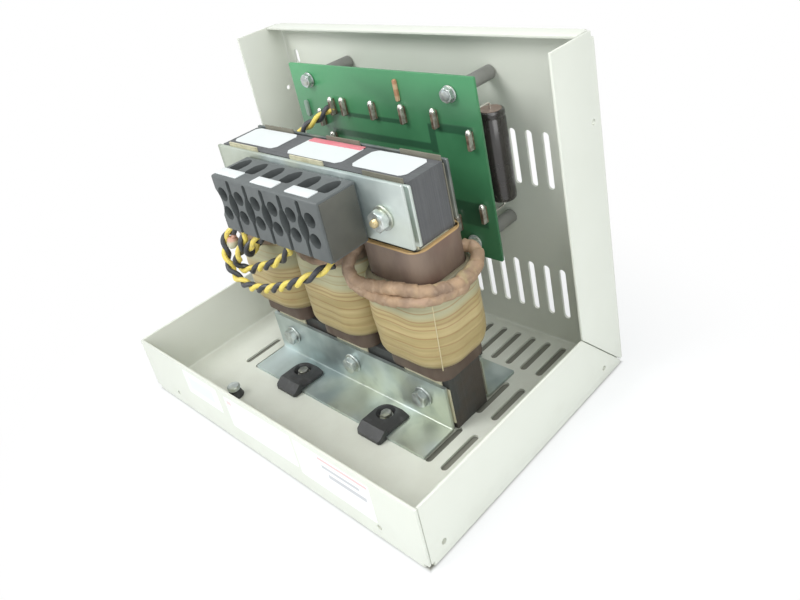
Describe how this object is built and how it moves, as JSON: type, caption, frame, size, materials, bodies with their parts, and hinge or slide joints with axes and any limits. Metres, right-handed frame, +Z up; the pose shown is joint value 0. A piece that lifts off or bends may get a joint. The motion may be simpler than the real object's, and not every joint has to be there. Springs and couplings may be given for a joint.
{
  "type": "three-phase line reactor on an open chassis",
  "caption": "Three-phase laminated-core line reactor with wound coils, terminal block and filter circuit board, on an open slotted sheet-steel chassis.",
  "frame": {"origin": "under the middle of the chassis, on its underside", "axes": "+X to the right along the front wall, +Y from the front wall to the back panel, +Z up"},
  "size_m": [0.25, 0.174, 0.2],
  "materials": {
    "cream_paint": "satin",
    "zinc": "satin",
    "core_steel": "satin",
    "winding_paper": "satin",
    "former_board": "matte",
    "strip_paper": "matte",
    "lead_tape": "matte",
    "block_plastic": "satin",
    "black_steel": "satin",
    "board_green": "gloss",
    "post_grey": "satin",
    "capacitor_black": "gloss",
    "wire_yellow": "satin",
    "label_white": "matte"
  },
  "bodies": {
    "root": {"board_post_lower_left": "post_grey", "board_post_lower_right": "post_grey", "board_post_upper_left": "post_grey", "board_post_upper_right": "post_grey", "board_screw_lower_left": "zinc", "board_screw_lower_right": "zinc", "board_screw_upper_left": "zinc", "board_screw_upper_right": "zinc", "bracket_front": "zinc", "bracket_rear": "zinc", "capacitor": "capacitor_black", "chassis": "cream_paint", "circuit_board": "board_green", "clamp_plate_front": "zinc", "clamp_plate_rear": "zinc", "core_limbs": "core_steel", "core_upper_yoke": "core_steel", "earth_stud": "black_steel", "former_left": "former_board", "former_middle": "former_board", "former_right": "former_board", "gap_spacer_left": "strip_paper", "gap_spacer_middle": "strip_paper", "gap_spacer_right": "strip_paper", "lead_taped": "lead_tape", "lower_bolt_left": "zinc", "lower_bolt_middle": "zinc", "lower_bolt_right": "zinc", "lower_nut_left": "zinc", "lower_nut_middle": "zinc", "lower_nut_right": "zinc", "pair_board": "wire_yellow", "pair_front": "wire_yellow", "pair_hook": "wire_yellow", "pair_middle": "wire_yellow", "plate_spacer_left": "zinc", "plate_spacer_right": "zinc", "strip_lower_front": "strip_paper", "strip_lower_rear": "strip_paper", "strip_upper_front": "strip_paper", "strip_upper_rear": "strip_paper", "terminal_block": "block_plastic", "terminal_plate": "zinc", "toe_bolt_front_left": "zinc", "toe_bolt_front_right": "zinc", "toe_bolt_rear_left": "zinc", "toe_bolt_rear_right": "zinc", "toe_clamp_front_left": "black_steel", "toe_clamp_front_right": "black_steel", "toe_clamp_rear_left": "black_steel", "toe_clamp_rear_right": "black_steel", "upper_bolt_left": "zinc", "upper_bolt_right": "zinc", "upper_nut_left": "zinc", "upper_nut_right": "zinc", "winding_left": "winding_paper", "winding_middle": "winding_paper", "winding_right": "winding_paper"}
  },
  "joints": []
}
